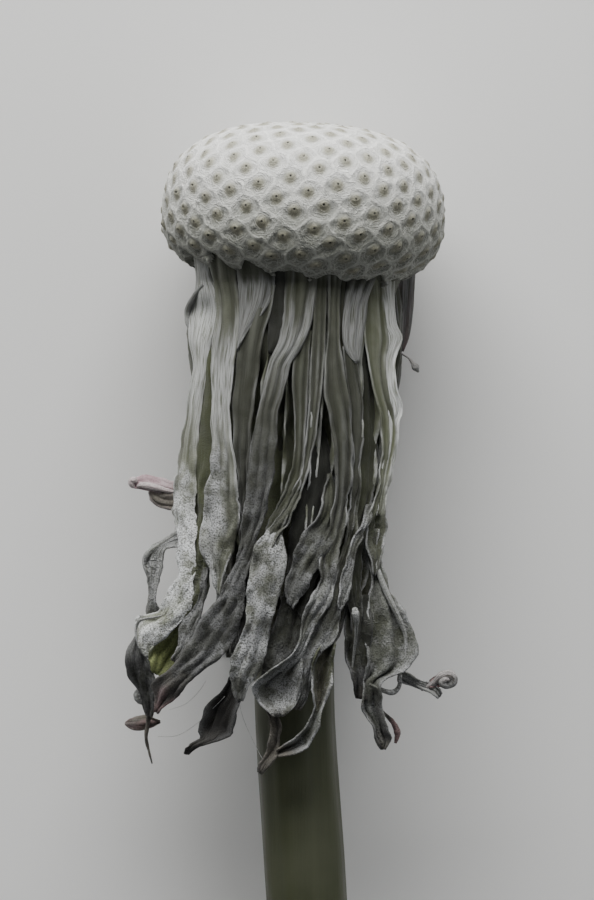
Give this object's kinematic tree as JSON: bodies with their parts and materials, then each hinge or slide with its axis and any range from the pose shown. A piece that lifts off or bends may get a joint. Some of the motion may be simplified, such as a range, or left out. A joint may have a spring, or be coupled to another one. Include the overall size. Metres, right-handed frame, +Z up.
{
  "type": "dandelion seed head, seeds gone",
  "caption": "Bare dandelion head lying on its side: pitted white dome, a skirt of withered bracts folded back, and a cut hollow stem.",
  "frame": {"origin": "middle of the underside, on the surface the head lies on", "axes": "+Z up from that surface, +Y along the stem towards the dome, +X to the right seen from above with the dome at the top"},
  "size_m": [0.014, 0.0442, 0.0119],
  "materials": {
    "receptacle": "matte",
    "inner_bracts": "matte",
    "outer_bracts": "matte",
    "stem": "satin"
  },
  "bodies": {
    "root": {"receptacle": "receptacle", "inner_bracts": "inner_bracts", "outer_bracts": "outer_bracts", "stem": "stem"}
  },
  "joints": []
}
